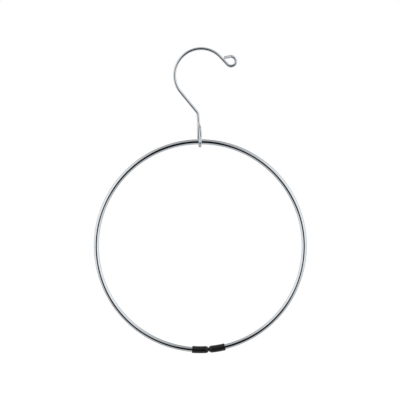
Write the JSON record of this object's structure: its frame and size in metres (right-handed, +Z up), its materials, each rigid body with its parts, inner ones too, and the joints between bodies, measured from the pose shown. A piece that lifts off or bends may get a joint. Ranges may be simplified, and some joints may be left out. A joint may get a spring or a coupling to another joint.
{
  "type": "scarf hanger",
  "caption": "Split ring of chromed spring wire with domed end caps, hung by an eye from a wire hook that sits on a closet rod and carries scarves.",
  "frame": {"origin": "centre of the hook's arc, where the axis of the largest closet rod runs", "axes": "+Z up along the hanging height, +X right as the picture shows it, +Y away from the viewer, along the rod"},
  "size_m": [0.2032, 0.0107, 0.2922],
  "materials": {
    "ring_chrome": "bright chrome plate on drawn steel wire",
    "hook_chrome": "bright chrome plate on drawn steel wire, thinner and duller on the cut ends",
    "cap_vinyl": "satin black soft vinyl"
  },
  "bodies": {
    "hook": {"hook": "hook_chrome"},
    "ring": {"ring": "ring_chrome", "end_cap_left": "cap_vinyl", "end_cap_right": "cap_vinyl"}
  },
  "joints": [
    {"name": "ring_swing", "type": "hinge", "parent": "hook", "child": "ring", "pos_m": [-0.0008, -0.00284, -0.06367], "axis": [1, 0, 0], "continuous": true}
  ]
}
